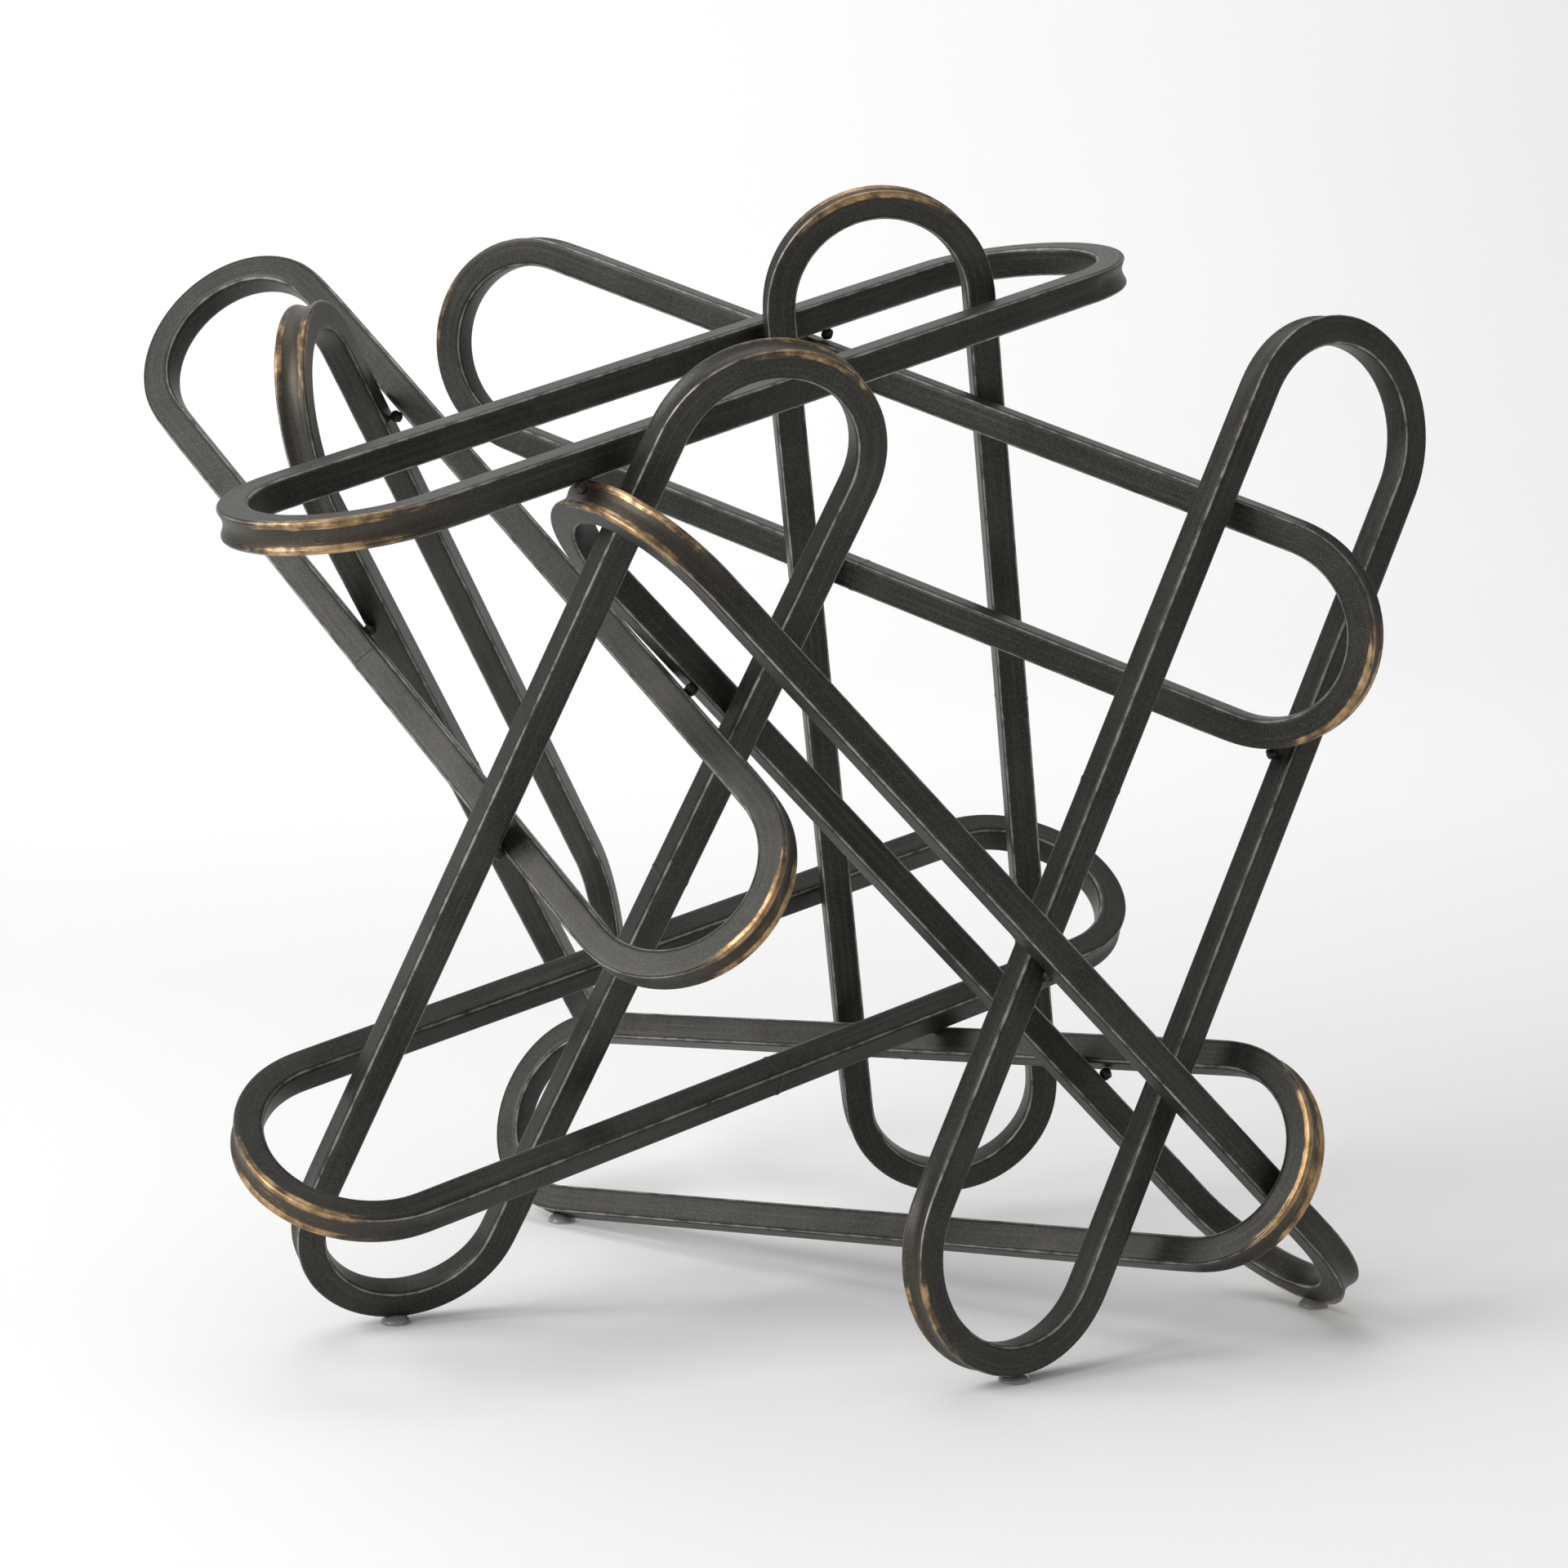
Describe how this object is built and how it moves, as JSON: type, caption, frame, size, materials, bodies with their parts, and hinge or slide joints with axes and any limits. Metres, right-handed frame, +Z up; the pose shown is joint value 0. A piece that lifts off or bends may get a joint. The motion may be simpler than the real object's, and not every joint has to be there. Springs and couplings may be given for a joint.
{
  "type": "interlocked oval link sculpture",
  "caption": "Rigid tabletop sculpture: long oval links of square steel tube, threaded through each other and tack-welded in a leaning pile, dark bronze-black with gold-rubbed bends.",
  "frame": {"origin": "on the table top, under the middle of the sculpture's bounding box", "axes": "+Z up, +X to the right and +Y to the back when it is seen from the front"},
  "size_m": [0.3474, 0.3158, 0.2964],
  "materials": {
    "tube": "satin gunmetal-bronze lacquer over steel tube, antique gold dry-brushed on the bends and edges",
    "butt_weld": "ground butt weld under the same satin lacquer",
    "weld_bead": "lumpy tack weld under the same dark lacquer",
    "bumper": "clear soft polyurethane bumper"
  },
  "bodies": {
    "root": {"high_left_link": "tube", "high_left_seam_weld": "butt_weld", "rear_left_link": "tube", "rear_left_seam_weld": "butt_weld", "front_left_link": "tube", "front_left_seam_weld": "butt_weld", "top_link": "tube", "top_seam_weld": "butt_weld", "upright_link": "tube", "upright_seam_weld": "butt_weld", "rear_high_link": "tube", "rear_high_seam_weld": "butt_weld", "front_right_link": "tube", "front_right_seam_weld": "butt_weld", "long_diagonal_link": "tube", "long_diagonal_seam_weld": "butt_weld", "middle_link": "tube", "middle_seam_weld": "butt_weld", "low_link": "tube", "low_seam_weld": "butt_weld", "weld_high_left_rear_left": "weld_bead", "weld_high_left_rear_left_2": "weld_bead", "weld_high_left_front_left": "weld_bead", "weld_high_left_long_diagonal": "weld_bead", "weld_front_left_long_diagonal": "weld_bead", "weld_front_left_long_diagonal_2": "weld_bead", "weld_top_upright": "weld_bead", "weld_top_rear_high": "weld_bead", "weld_top_long_diagonal": "weld_bead", "weld_upright_rear_high": "weld_bead", "weld_upright_middle": "weld_bead", "weld_upright_low": "weld_bead", "weld_rear_high_front_right": "weld_bead", "weld_front_right_long_diagonal": "weld_bead", "weld_long_diagonal_low": "weld_bead", "weld_long_diagonal_low_2": "weld_bead", "weld_middle_low": "weld_bead", "front_left_foot_pad": "bumper", "front_right_foot_pad": "bumper", "long_diagonal_foot_pad": "bumper", "low_foot_pad": "bumper"}
  },
  "joints": []
}
